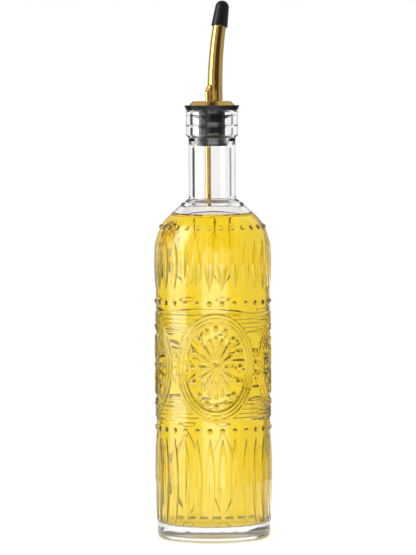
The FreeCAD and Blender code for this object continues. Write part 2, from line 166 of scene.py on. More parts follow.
# ---- Studio: directions in degrees, where azimuth is 0 at -Y and grows towards +X, and side is the azimuth
# without its sign ----
BODY_LEVEL = (-2.6, -2.0)    # the camera's rays slope more than this to the body, and less to the neck
SOFTBOX_AZIMUTH = (-108.0, -61.0)
SOFTBOX_NECK_EDGE = (-98.0, -95.0)
SOFTBOX_HEIGHT = (-30.0, 48.0)
ROOM_AZIMUTH = (-12.0, 56.0)
TABLE_AZIMUTH = (-24.0, 26.0)
CEILING_HEIGHT = (55.0, 70.0)
WINGS_SIDE = (105.0, 145.0)
HIGH_HEIGHT = (28.0, 83.0)
HIGH_SIDE = (95.0, 105.0)
BACK_SIDE = (108.0, 111.0)
FLAG_HEIGHT = (-46.0, -10.5)
FLAG_SIDE = (138.0, 150.0)
STEEP_HEIGHT = (-52.0, -46.0)

# ---- Studio: strengths, where 1 is white. A pair is for the neck, then for the body ----
WHITE = 1.0
DIFFUSE_LEVEL = 0.62
FRONT_LEVELS = (0.4, 0.35)
SOFTBOX_LEVELS = (4.2, 2.2)
THROUGH_MOST = (4.2, 1.8)    # the most of the front that a ray through glass sees
ROOM_LEVEL = 0.05
TABLE_LEVEL = 2.8
WINGS_LEVEL = 0.08
HIGH_LEVEL = 0.5
FLAG_LEVEL = 0.15
STEEP_LEVEL = 1.3

# ---- Studio: edges of the bands behind. Two azimuths, and the strengths at the one and the other ----
LEFT_NECK_EDGE = (-147.0, -141.0, 1.0, 0.02)
LEFT_BODY_EDGE = (-140.0, -128.0, 1.0, 0.4)
RIGHT_NECK_EDGE = (124.0, 140.0, 0.25, 1.0)
RIGHT_BODY_EDGE = (100.0, 126.0, 0.55, 1.0)

# ---- Glass and oil ----
GLASS_IOR = 1.52
GLASS_SHADE = (0.93, 0.94, 0.94)
GLASS_BUMP = 0.12
GLASS_BUMP_SCALE = 90.0
OIL_IOR = 1.47
OIL_COLOUR = (0.98, 0.74, 0.025)
OIL_SHADE = (0.97, 0.86, 0.45)
OIL_DENSITY = 8.0
OIL_DEPTH_COLOUR = (0.99, 0.85, 0.2)
OIL_SPECULAR = (0.05, 0.5)
OIL_SHINE_DROP = 0.0002      # the surface shines from this far below the level up, m
SHINE_FADE = 0.0004          # and the shine fades in over this, m


# =====================================================================================================
# Outline of the bottle
# =====================================================================================================
SHOULDER_CENTER = (BODY_R - SHOULDER_R, SHOULDER_START_Z)
CONE_TURN = math.pi / 2 - CONE_ANGLE
HEEL_R = BODY_R - FOOT_R
INNER_R = BODY_R - WALL
NECK_INNER_R = NECK_R - WALL
SHOULDER_TOP = SHOULDER_START_Z + SHOULDER_R * CONE_TURN       # measured along the wall


def on_shoulder(run, inset=0.0):
    """(radius, height) at a run along the wall: the height up to the shoulder, and an arc above it."""
    if run <= SHOULDER_START_Z:
        return (BODY_R - inset, run)
    turn = (run - SHOULDER_START_Z) / SHOULDER_R
    radius = SHOULDER_R - inset
    return (SHOULDER_CENTER[0] + radius * math.cos(turn), SHOULDER_CENTER[1] + radius * math.sin(turn))


def cone_z(radius, inset):
    """Height of the cone at a radius, outside the glass (inset 0) or inside it (inset WALL)."""
    foot = on_shoulder(SHOULDER_TOP, inset)
    return foot[1] + (foot[0] - radius) * math.tan(CONE_ANGLE)


def cone_r(height, inset):
    """Radius of the cone at a height, outside the glass or inside it."""
    foot = on_shoulder(SHOULDER_TOP, inset)
    return foot[0] - (height - foot[1]) / math.tan(CONE_ANGLE)


LEDGE_TOP = (LEDGE_R - LEDGE_DRAFT, cone_z(LEDGE_R, 0.0) + LEDGE_H)
LEDGE_TURN = math.pi / 2 - LEDGE_ANGLE
NECK_FOOT_Z = (LEDGE_TOP[1] + (LEDGE_TOP[0] - NECK_R) * math.tan(LEDGE_ANGLE)
               + NECK_FILLET_R * math.tan(LEDGE_TURN / 2))
THROAT_CENTER = (NECK_INNER_R + THROAT_R, cone_z(NECK_INNER_R, WALL) + THROAT_R * math.tan(CONE_TURN / 2))


def arc_points(center, radius, start, end, step):
    """Points of an arc in the (radius, height) plane, about step apart. Angles in radians."""
    count = max(2, math.ceil(abs(end - start) * radius / step))
    return [(center[0] + radius * math.cos(a), center[1] + radius * math.sin(a))
            for a in np.linspace(start, end, count + 1)]


def line_points(a, b, step):
    """Points of a straight line in the (radius, height) plane, about step apart."""
    count = max(1, math.ceil(math.dist(a, b) / step))
    return [(a[0] + (b[0] - a[0]) * t, a[1] + (b[1] - a[1]) * t) for t in np.linspace(0, 1, count + 1)]


def joined(*parts):
    """One list of points from parts that start where the last one ended."""
    points = list(parts[0])
    for part in parts[1:]:
        points.extend(part[1:] if math.dist(points[-1], part[0]) < 1e-4 else part)
    return points


def finish_line():
    """The plain outside from the cone to the lip, and the smooth inside down to the middle of the base."""
    lip_top_r = LIP_R - LIP_ROUND_R
    mouth_round_r = 0.4
    mouth_low_z = BOTTLE_H - mouth_round_r
    fillet_center = (NECK_R + NECK_FILLET_R, NECK_FOOT_Z)
    fillet = arc_points(fillet_center, NECK_FILLET_R, math.pi + LEDGE_TURN, math.pi, 0.3)
    parting_low = (LIP_R, PARTING_Z - PARTING_W / 2)
    parting_high = (LIP_R, PARTING_Z + PARTING_W / 2)
    crisp = 0.12             # keeps an edge sharp under smooth shading
    return joined(
        line_points(on_shoulder(SHOULDER_TOP), (LEDGE_R + crisp, cone_z(LEDGE_R + crisp, 0.0)), 1.4),
        [(LEDGE_R, cone_z(LEDGE_R, 0.0) + crisp)],
        [(LEDGE_TOP[0] + 0.05, LEDGE_TOP[1] - crisp)],
        [(LEDGE_TOP[0] - crisp, LEDGE_TOP[1] + crisp / 3)],
        line_points((LEDGE_TOP[0] - 2 * crisp, LEDGE_TOP[1] + crisp), fillet[0], 1.0),
        fillet,
        line_points((NECK_R, NECK_FOOT_Z), (NECK_R, LIP_BOTTOM_Z - 0.2), 4.0),
        [(NECK_R + 0.05, LIP_BOTTOM_Z)],
        line_points((NECK_R + 0.2, LIP_BOTTOM_Z + 0.1), (LIP_R - 0.2, LIP_BOTTOM_Z + LIP_CHAMFER - 0.2), 0.5),
        line_points((LIP_R, LIP_BOTTOM_Z + LIP_CHAMFER), parting_low, 1.6),
        [parting_low, (LIP_R - PARTING_DEPTH, PARTING_Z), parting_high],
        line_points(parting_high, (LIP_R, BOTTLE_H - LIP_ROUND_R), 1.6),
        arc_points((lip_top_r, BOTTLE_H - LIP_ROUND_R), LIP_ROUND_R, 0, math.pi / 2, 0.25),
        line_points((lip_top_r, BOTTLE_H), (BORE_R + mouth_round_r, BOTTLE_H), 0.7),
        arc_points((BORE_R + mouth_round_r, mouth_low_z), mouth_round_r, math.pi / 2, math.pi, 0.2),
        line_points((BORE_R, mouth_low_z), (BORE_R, BORE_BOTTOM_Z), 2.0),
        line_points((BORE_R, BORE_BOTTOM_Z), (NECK_INNER_R, BORE_BOTTOM_Z - BORE_TAPER_H), 0.5),
        line_points((NECK_INNER_R, BORE_BOTTOM_Z - BORE_TAPER_H), (NECK_INNER_R, THROAT_CENTER[1]), 4.0),
        inside_line()[::-1],
    )


def inside_line():
    """The smooth inside from the middle of the base up to the foot of the neck."""
    corner = (INNER_R - INNER_CORNER_R, BASE_THICKNESS + INNER_CORNER_R)
    return joined(
        line_points((0.0, BASE_THICKNESS), (corner[0], BASE_THICKNESS), 4.0),
        arc_points(corner, INNER_CORNER_R, -math.pi / 2, 0, 0.7),
        line_points((INNER_R, corner[1]), (INNER_R, SHOULDER_START_Z), 8.0),
        arc_points(SHOULDER_CENTER, SHOULDER_R - WALL, 0, CONE_TURN, 1.0),
        arc_points(THROAT_CENTER, THROAT_R, math.pi + CONE_TURN, math.pi, 0.7),
    )


def foot_line():
    """Under the base: the flat foot ring, then the shallow hollow, to the middle."""
    punt_r = (FOOT_INNER_R ** 2 + PUNT_RISE ** 2) / (2 * PUNT_RISE)
    punt_turn = math.asin(FOOT_INNER_R / punt_r)
    return joined(
        line_points((FOOT_R, 0.0), (FOOT_INNER_R, 0.0), 2.0),
        arc_points((0.0, PUNT_RISE - punt_r), punt_r, math.pi / 2 - punt_turn, math.pi / 2, 3.5),
    )


# =====================================================================================================
# Raised pattern: height over the smooth wall, in mm, at an angle and a height
# =====================================================================================================
def nearest(angle, count, phase, radius=BODY_R):
    """Distance in mm round the wall to the nearest of count evenly spaced places."""
    pitch = 2 * math.pi / count
    offset = (angle / pitch - phase + 0.5) % 1.0 - 0.5
    return offset * pitch * radius


def dome(distance, radius, proud):
    """Height of a bead of the radius that stands proud of the wall."""
    return np.maximum(0.0, np.sqrt(np.maximum(0.0, radius ** 2 - distance ** 2)) - (radius - proud))


def marquise(u, v, half_length, width, proud):
    """Height of a long pointed petal: a flattened crown with steep sides."""
    taper = np.maximum(0.0, 1 - (v / half_length) ** 2)
    half_width = np.maximum(1e-3, width / 2 * taper)
    inward = np.clip(1 - np.abs(u) / half_width, 0.0, 1.0)
    side = np.clip(inward / 0.15, 0.0, 1.0)
    side = side * side * (3 - 2 * side)
    return proud * np.sqrt(taper) * side * (0.66 + 0.34 * inward * (2 - inward))


def ridge(distance, width, proud):
    """Height of a rounded ridge at a distance from its middle line."""
    return proud * np.maximum(0.0, 1 - (2 * distance / width) ** 2) ** 0.7


def ellipse_distance(u, v, half_u, half_v):
    """About how far outside an ellipse a place is, in mm."""
    f = np.hypot(u / half_u, v / half_v)
    slope = np.hypot(u / half_u ** 2, v / half_v ** 2) / np.maximum(f, 1e-6)
    return (f - 1) / np.maximum(slope, 1e-6)


def medallion(u, v):
    """Height of one medallion at a place beside its centre."""
    outside = ellipse_distance(u, v, OVAL_HALF_ARC, OVAL_HALF_H)
    height = np.zeros(np.broadcast(u, v).shape)
    for n in range(OVAL_RIDGES):
        height = np.maximum(height, ridge(outside + n * OVAL_PITCH, OVAL_RIDGE_W, OVAL_PROUD))
    for n in range(RING_BEADS):
        a = 2 * math.pi * n / RING_BEADS
        away = np.hypot(u - RING_HALF_ARC * math.sin(a), v - RING_HALF_H * math.cos(a))
        height = np.maximum(height, dome(away, RING_BEAD_R, RING_BEAD_PROUD))
    for n in range(DAISY_PETALS):
        a = 2 * math.pi * n / DAISY_PETALS
        tip_u, tip_v = DAISY_HALF_ARC * math.sin(a), DAISY_HALF_H * math.cos(a)
        reach = math.hypot(tip_u, tip_v)
        along = (u * tip_u + v * tip_v) / reach
        across = (u * tip_v - v * tip_u) / reach
        t = np.clip((along - DAISY_EYE_R) / (reach - DAISY_EYE_R), 0.0, 1.0)
        half_w = DAISY_EYE_HALF_W + DAISY_SPREAD * t
        end = np.maximum(0.0, along - (reach - DAISY_ROUND)) + np.maximum(0.0, DAISY_EYE_R - along)
        inside = np.maximum(0.0, 1 - (across / half_w) ** 2 - (end / DAISY_ROUND) ** 2)
        height = np.maximum(height, DAISY_PROUD * np.sqrt(inside))
    middle = np.hypot(u, v)
    boss = BOSS_PROUD * np.sqrt(np.maximum(0.0, 1 - (middle / BOSS_R) ** 2))
    boss = boss - BOSS_GROOVE_DEPTH * np.exp(-((middle - BOSS_GROOVE_R) / BOSS_GROOVE_W) ** 2)
    return np.maximum(height, boss)


def star(u, v):
    """Height of the small star of strokes half-way between two medallions."""
    height = np.zeros(np.broadcast(u, v).shape)
    for n in range(STAR_POINTS):
        a = 2 * math.pi * n / STAR_POINTS
        at_u, at_v = STAR_HALF_ARC * math.sin(a), STAR_HALF_H * math.cos(a)
        reach = max(math.hypot(at_u, at_v), 1e-6)
        along = ((u - at_u) * at_u + (v - at_v) * at_v) / reach
        across = ((u - at_u) * at_v - (v - at_v) * at_u) / reach
        height = np.maximum(height, marquise(across, along, STAR_STROKE_L / 2, STAR_STROKE_W, STAR_PROUD))
    return height


def stripes(v, outside):
    """Height of the level ridges between the medallions, which fade out at the ovals."""
    height = np.zeros(np.broadcast(v, outside).shape)
    for n in range(STRIPES):
        offset = STRIPE_TOP_OFFSET - n * STRIPE_PITCH
        height = np.maximum(height, ridge(np.abs(v) - offset, STRIPE_W, STRIPE_PROUD))
    return height * np.clip((outside - 0.9) / 0.8, 0.0, 1.0)


# Middle and half length of each row of petals and beads, measured along the wall.
PETAL_SPANS = tuple(((low + high) / 2, (high - low) / 2) for low, high in (LOWER_PETAL_Z, UPPER_PETAL_Z))
BEAD_FOOT = math.sqrt(BEAD_R ** 2 - (BEAD_R - BEAD_PROUD) ** 2)
TOP_BEAD_RUN = SHOULDER_START_Z + SHOULDER_R * math.asin((BEAD_ROWS_Z[2] - SHOULDER_START_Z) / SHOULDER_R)
BEAD_RUNS = BEAD_ROWS_Z[:2] + (TOP_BEAD_RUN,)


def relief(angle, run, radius):
    """Height of the whole pattern on one level. angle is 0 at -Y and grows towards +X."""
    u = nearest(angle, PETALS, 0.5, radius)
    height = np.zeros(angle.shape)
    for middle in BEAD_RUNS:
        if abs(run - middle) < BEAD_R:
            height = np.maximum(height, dome(np.hypot(u, run - middle), BEAD_R, BEAD_PROUD))
    for middle, half in PETAL_SPANS:
        if abs(run - middle) < half:
            height = np.maximum(height, marquise(u, run - middle, half, PETAL_W, PETAL_PROUD))
    v = run - MEDALLION_Z
    if abs(v) < OVAL_HALF_H + 2:
        side = nearest(angle, MEDALLIONS, 0.0)
        height = np.maximum(height, medallion(side, v))
        height = np.maximum(height, stripes(v, ellipse_distance(side, v, OVAL_HALF_ARC, OVAL_HALF_H)))
        height = np.maximum(height, star(nearest(angle, MEDALLIONS, 0.5), v))
    return height


def edge_at(run):
    """Half width of the petals or beads at a level, or None where there are none."""
    for middle in BEAD_RUNS:
        if abs(run - middle) < BEAD_FOOT * 1.4:
            return math.sqrt(max(0.0, BEAD_FOOT ** 2 - (run - middle) ** 2))
    for middle, half in PETAL_SPANS:
        if abs(run - middle) < half + 0.6:
            return PETAL_W / 2 * max(0.0, 1 - ((run - middle) / half) ** 2)
    return None


def column_angles(run, radius):
    """Angles of the columns on one level, drawn together at the edges of its petals or beads."""
    half = math.pi * radius / PETALS
    edge = edge_at(run)
    if edge is None:
        steps = np.linspace(-half, half, PETAL_COLUMNS + 1)[:-1]
    else:
        edge = max(edge, 0.4)
        inner = [edge * part for part in (0.28, 0.55, 0.8, 0.92, 1.0)]
        inner += [edge + 0.15, (edge + 0.15 + half) / 2]
        steps = np.array([-half] + [-step for step in inner[::-1]] + [0.0] + inner)
    middles = (np.arange(PETALS) + 0.5) * (2 * math.pi / PETALS)
    return (middles[:, None] + steps[None, :] / radius).ravel()


def wall_runs():
    """Levels of the patterned wall from the heel to the cone, closer together where the pattern needs it."""
    runs = list(np.linspace(HEEL_R, LOWER_PETAL_Z[0] - 1.0, 5))
    for (middle, half), step in zip(PETAL_SPANS, (2.7, 1.7)):
        low, high = middle - half, middle + half
        runs += [low - 0.3, low + 0.3, low + 1.0, high - 1.0, high - 0.3, high + 0.3]
        runs += list(np.linspace(low + 2.0, high - 2.0, round((high - low - 4.0) / step)))
    for middle in BEAD_RUNS:
        runs += [middle + side * BEAD_FOOT * part
                 for part in (0.28, 0.54, 0.76, 0.92, 1.0, 1.12, 1.38) for side in (-1, 1)]
        runs.append(middle)
    clear = 3.4
    runs += list(np.linspace(BEAD_RUNS[0] + clear, BEAD_RUNS[1] - clear, MEDALLION_LEVELS))
    runs += [139.5, 141.5, 174.0, 175.6]       # the plain bands below and above the upper petals
    runs += list(np.linspace(TOP_BEAD_RUN + clear, SHOULDER_TOP, 5))
    return sorted(runs)


# =====================================================================================================
# Meshes
# =====================================================================================================
def new_object(name, vertices, faces, material):
    mesh = bpy.data.meshes.new(name)
    mesh.from_pydata(vertices, [], faces)
    mesh.validate()
    mesh.polygons.foreach_set("use_smooth", [True] * len(mesh.polygons))
    mesh.materials.append(material)
    mesh.update()
    piece = bpy.data.objects.new(name, mesh)
    bpy.context.scene.collection.objects.link(piece)
    return piece


class Skin:
    """A closed skin of rings round the Z axis, built from one pole to the other."""

    def __init__(self):
        self.vertices = []
        self.faces = []
        self.last = None

    def pole(self, z):
        self.vertices.append((0.0, 0.0, z * MM))
        point = len(self.vertices) - 1
        if self.last is not None:
            ring = self.last
            self.faces += [(ring[n], ring[(n + 1) % len(ring)], point) for n in range(len(ring))]
        self.last = [point]

    def ring(self, angle, radius, z):
        """radius and z are numbers or arrays of one value for each of the angles."""
        count = len(angle)
        x = radius * np.sin(angle) * MM
        y = -radius * np.cos(angle) * MM
        height = np.broadcast_to(np.asarray(z, dtype=float) * MM, x.shape)
        first = len(self.vertices)
        self.vertices += list(zip(x.tolist(), y.tolist(), height.tolist()))
        self.join(list(range(first, first + count)))

    def join(self, ring):
        """Faces between the last ring and this one, whose counts are equal or one a multiple of the other."""
        last = self.last
        self.last = ring
        if last is None:
            return
        if len(last) == 1:
            self.faces += [(last[0], ring[(n + 1) % len(ring)], ring[n]) for n in range(len(ring))]
            return
        steps = max(len(last), len(ring))
        for n in range(steps):
            a0, a1 = (last[int(k * len(last) / steps) % len(last)] for k in (n, n + 1))
            b0, b1 = (ring[int(k * len(ring) / steps) % len(ring)] for k in (n, n + 1))
            corners = []
            for corner in (a0, a1, b1, b0):
                if corner not in corners:
                    corners.append(corner)
            self.faces.append(tuple(corners))


def outward(points):
    """Unit normals of a line of (radius, height) points, pointing away from the axis for a rising line."""
    line = np.array(points)
    step = np.gradient(line, axis=0)
    normal = np.stack([step[:, 1], -step[:, 0]], axis=1)
    return normal / np.linalg.norm(normal, axis=1, keepdims=True)


def make_bottle(material, foot_material):
    """The glass with its raised pattern, and foot_material on its underside."""
    skin = Skin()
    under = foot_line()[::-1]
    skin.pole(under[0][1])
    for r, z in under[1:-1]:
        skin.ring(SMOOTH_ANGLES, r, z)
    even = column_angles(HEEL_R, FOOT_R)
    knurl = 0.5 + 0.5 * np.cos(KNURLS * even)
    for turn in np.linspace(-math.pi / 2, 0, 10)[:-1]:
        proud = KNURL_PROUD * math.sin(math.pi * math.sqrt(max(0.0, 1 + math.sin(turn)))) ** 2 * knurl
        reach = HEEL_R + proud
        skin.ring(even, FOOT_R + reach * math.cos(turn), np.maximum(0.0, HEEL_R + reach * math.sin(turn)))
    for run in wall_runs():
        radius = on_shoulder(run)[0]
        angle = column_angles(run, radius)
        skin.ring(angle, *on_wall(run, relief(angle, run, radius)))
    for r, z in finish_line()[1:-1]:
        skin.ring(SMOOTH_ANGLES, r, z)
    skin.pole(BASE_THICKNESS)
    piece = new_object("bottle_glass", skin.vertices, skin.faces, material)
    piece.data.materials.append(foot_material)
    for face in piece.data.polygons:
        if face.center.z < FOOT_STIPPLE_Z * MM and face.normal.z < -0.6:
            face.material_index = 1
    return piece


def on_wall(run, height):
    """Radii and heights of the points that stand the given heights proud of the wall."""
    turn = max(0.0, run - SHOULDER_START_Z) / SHOULDER_R
    r, z = on_shoulder(run)
    return r + height * math.cos(turn), z + height * math.sin(turn)


def make_oil(material):
    """The oil, which reaches just into the glass and creeps up it a little at its level."""
    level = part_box("oil")[1].z / MM
    line = [point for point in inside_line() if point[1] < level - 1.2]
    skin = Skin()
    skin.pole(BASE_THICKNESS - OIL_SEAT)
    for (r, z), (nr, nz) in list(zip(line, outward(line)))[1:]:
        skin.ring(SMOOTH_ANGLES, r + OIL_SEAT * nr, z + OIL_SEAT * nz)
    surface = level - OIL_DROP
    for inset in (0.0, 0.08, 0.2, 0.4, 0.7, 1.2, 2.5, 5.0):
        up = surface + OIL_CREEP * math.exp(-2 * inset)
        skin.ring(SMOOTH_ANGLES, cone_r(up, WALL) + OIL_SEAT - inset, up)
    for r in np.linspace(cone_r(level, WALL) - 8.0, 3.0, 3):
        skin.ring(SMOOTH_ANGLES, r, surface)
    skin.pole(surface)
    return new_object("olive_oil", skin.vertices, skin.faces, material)


# =====================================================================================================
# Materials
# =====================================================================================================
class Nodes:
    """A node tree, with short ways to add nodes and link them."""

    def __init__(self, owner):
        owner.use_nodes = True
        self.tree = owner.node_tree
        self.tree.nodes.clear()

    def put(self, socket, value):
        """Links a socket to an output, or sets it to a plain value."""
        if isinstance(value, bpy.types.NodeSocket):
            self.tree.links.new(value, socket)
        else:
            socket.default_value = value

    def math(self, operation, *values):
        node = self.tree.nodes.new("ShaderNodeMath")
        node.operation = operation
        for socket, value in zip(node.inputs, values):
            self.put(socket, value)
        return node.outputs[0]

    def ramp(self, value, low, high, to_low=0.0, to_high=1.0):
        """A smooth step from to_low at low to to_high at high."""
        node = self.tree.nodes.new("ShaderNodeMapRange")
        node.interpolation_type = "SMOOTHSTEP"
        names = ("Value", "From Min", "From Max", "To Min", "To Max")
        for name, item in zip(names, (value, low, high, to_low, to_high)):
            self.put(node.inputs[name], item)
        return node.outputs[0]

    def window(self, value, low, high, soft):
        """One inside low to high, with soft edges."""
        rise = self.ramp(value, low - soft, low + soft)
        fall = self.ramp(value, high - soft, high + soft, 1.0, 0.0)
        return self.math("MULTIPLY", rise, fall)

    def mix_number(self, factor, a, b):
        """a where the factor is 0, and b where it is 1."""
        node = self.tree.nodes.new("ShaderNodeMix")
        node.data_type = "FLOAT"
        for socket, value in zip((node.inputs[0], node.inputs[2], node.inputs[3]), (factor, a, b)):
            self.put(socket, value)
        return node.outputs[0]

    def mix_color(self, factor, a, b):
        node = self.tree.nodes.new("ShaderNodeMix")
        node.data_type = "RGBA"
        for socket, value in zip((node.inputs[0], node.inputs[6], node.inputs[7]), (factor, a, b)):
            self.put(socket, value)
        return node.outputs[2]

    def mix_shader(self, factor, a, b):
        node = self.tree.nodes.new("ShaderNodeMixShader")
        for socket, value in zip(node.inputs, (factor, a, b)):
            self.put(socket, value)
        return node.outputs[0]

    def noise(self, scale, detail=2.0, roughness=0.5):
        where = self.tree.nodes.new("ShaderNodeTexCoord")
        node = self.tree.nodes.new("ShaderNodeTexNoise")
        self.put(node.inputs["Vector"], where.outputs["Object"])
        self.put(node.inputs["Scale"], scale)
        self.put(node.inputs["Detail"], detail)
        self.put(node.inputs["Roughness"], roughness)
        return node.outputs["Fac"]

    def bump(self, height, strength, distance):
        node = self.tree.nodes.new("ShaderNodeBump")
        self.put(node.inputs["Height"], height)
        self.put(node.inputs["Strength"], strength)
        self.put(node.inputs["Distance"], distance)
        return node.outputs["Normal"]


def see_through(name, ior, colour, shade, bump_strength, bump_scale, roughness=0.0, specular=None,
                density=0.0, depth_colour=None):
    """Clear glass or liquid. Lamps shine through it as through a pane tinted with shade. A liquid's specular
    is the level at its walls, the level at its surface and the height of the surface."""
    material = bpy.data.materials.new(name)
    nodes = Nodes(material)
    body = nodes.tree.nodes.new("ShaderNodeBsdfPrincipled")
    body.inputs["Base Color"].default_value = (*colour, 1.0)
    body.inputs["Roughness"].default_value = roughness
    body.inputs["IOR"].default_value = ior
    if specular is not None:
        where = nodes.tree.nodes.new("ShaderNodeTexCoord")
        split = nodes.tree.nodes.new("ShaderNodeSeparateXYZ")
        nodes.put(split.inputs[0], where.outputs["Object"])
        low, high, surface_z = specular
        level = nodes.ramp(split.outputs[2], surface_z - SHINE_FADE, surface_z, low, high)
        nodes.put(body.inputs["Specular IOR Level"], level)
    body.inputs["Transmission Weight"].default_value = 1.0
    nodes.put(body.inputs["Normal"], nodes.bump(nodes.noise(bump_scale, 1.0), bump_strength, 0.0004))
    pane = nodes.tree.nodes.new("ShaderNodeBsdfTransparent")
    pane.inputs["Color"].default_value = (*shade, 1.0)
    light = nodes.tree.nodes.new("ShaderNodeLightPath")
    out = nodes.tree.nodes.new("ShaderNodeOutputMaterial")
    surface = nodes.mix_shader(light.outputs["Is Shadow Ray"], body.outputs[0], pane.outputs[0])
    nodes.put(out.inputs["Surface"], surface)
    if density:
        depth = nodes.tree.nodes.new("ShaderNodeVolumeAbsorption")
        depth.inputs["Color"].default_value = (*depth_colour, 1.0)
        depth.inputs["Density"].default_value = density
        nodes.put(out.inputs["Volume"], depth.outputs[0])
    return material


def gold_material():
    """Gold-coloured polished metal."""
    material = bpy.data.materials.new("polished_gold")
    nodes = Nodes(material)
    body = nodes.tree.nodes.new("ShaderNodeBsdfPrincipled")
    colour = nodes.mix_color(nodes.noise(120.0, 3.0), (0.96, 0.62, 0.18, 1.0), (0.92, 0.57, 0.15, 1.0))
    nodes.put(body.inputs["Base Color"], colour)
    body.inputs["Metallic"].default_value = 1.0
    nodes.put(body.inputs["Roughness"], nodes.ramp(nodes.noise(400.0, 4.0), 0.3, 0.7, 0.07, 0.13))
    out = nodes.tree.nodes.new("ShaderNodeOutputMaterial")
    nodes.put(out.inputs["Surface"], body.outputs[0])
    return material


def rubber_material():
    """Black, slightly glossy rubber."""
    material = bpy.data.materials.new("black_rubber")
    nodes = Nodes(material)
    body = nodes.tree.nodes.new("ShaderNodeBsdfPrincipled")
    nodes.put(body.inputs["Base Color"],
              nodes.mix_color(nodes.noise(90.0, 3.0), (0.006, 0.006, 0.007, 1.0), (0.010, 0.010, 0.011, 1.0)))
    body.inputs["Specular IOR Level"].default_value = 0.3
    nodes.put(body.inputs["Roughness"], nodes.ramp(nodes.noise(700.0, 3.0), 0.3, 0.7, 0.26, 0.34))
    nodes.put(body.inputs["Normal"], nodes.bump(nodes.noise(2600.0, 3.0), 0.15, 0.0001))
    out = nodes.tree.nodes.new("ShaderNodeOutputMaterial")
    nodes.put(out.inputs["Surface"], body.outputs[0])
    return material


def floor_material():
    """A pale floor. Light that comes through glass sees it as a plain grey up to FLOOR_SEEN_R[0] from the
    axis, and passes it from FLOOR_SEEN_R[1] on."""
    material = bpy.data.materials.new("pale_floor")
    nodes = Nodes(material)
    body = nodes.tree.nodes.new("ShaderNodeBsdfDiffuse")
    colour = nodes.mix_color(nodes.noise(14.0, 2.0), (0.86, 0.86, 0.86, 1.0), (0.88, 0.88, 0.88, 1.0))
    nodes.put(body.inputs["Color"], colour)
    glow = nodes.tree.nodes.new("ShaderNodeEmission")
    glow.inputs["Strength"].default_value = FLOOR_GLOW
    add = nodes.tree.nodes.new("ShaderNodeAddShader")
    nodes.put(add.inputs[0], body.outputs[0])
    nodes.put(add.inputs[1], glow.outputs[0])
    through_glass = nodes.tree.nodes.new("ShaderNodeEmission")
    through_glass.inputs["Color"].default_value = FLOOR_SEEN_COLOUR
    where = nodes.tree.nodes.new("ShaderNodeTexCoord")
    far = nodes.tree.nodes.new("ShaderNodeVectorMath")
    far.operation = "LENGTH"
    nodes.put(far.inputs[0], where.outputs["Object"])
    light = nodes.tree.nodes.new("ShaderNodeLightPath")
    open_air = nodes.tree.nodes.new("ShaderNodeBsdfTransparent")
    open_part = nodes.ramp(far.outputs["Value"], *FLOOR_SEEN_R)
    seen = nodes.mix_shader(open_part, through_glass.outputs[0], open_air.outputs[0])
    surface = nodes.mix_shader(light.outputs["Is Transmission Ray"], add.outputs[0], seen)
    out = nodes.tree.nodes.new("ShaderNodeOutputMaterial")
    nodes.put(out.inputs["Surface"], surface)
    return material


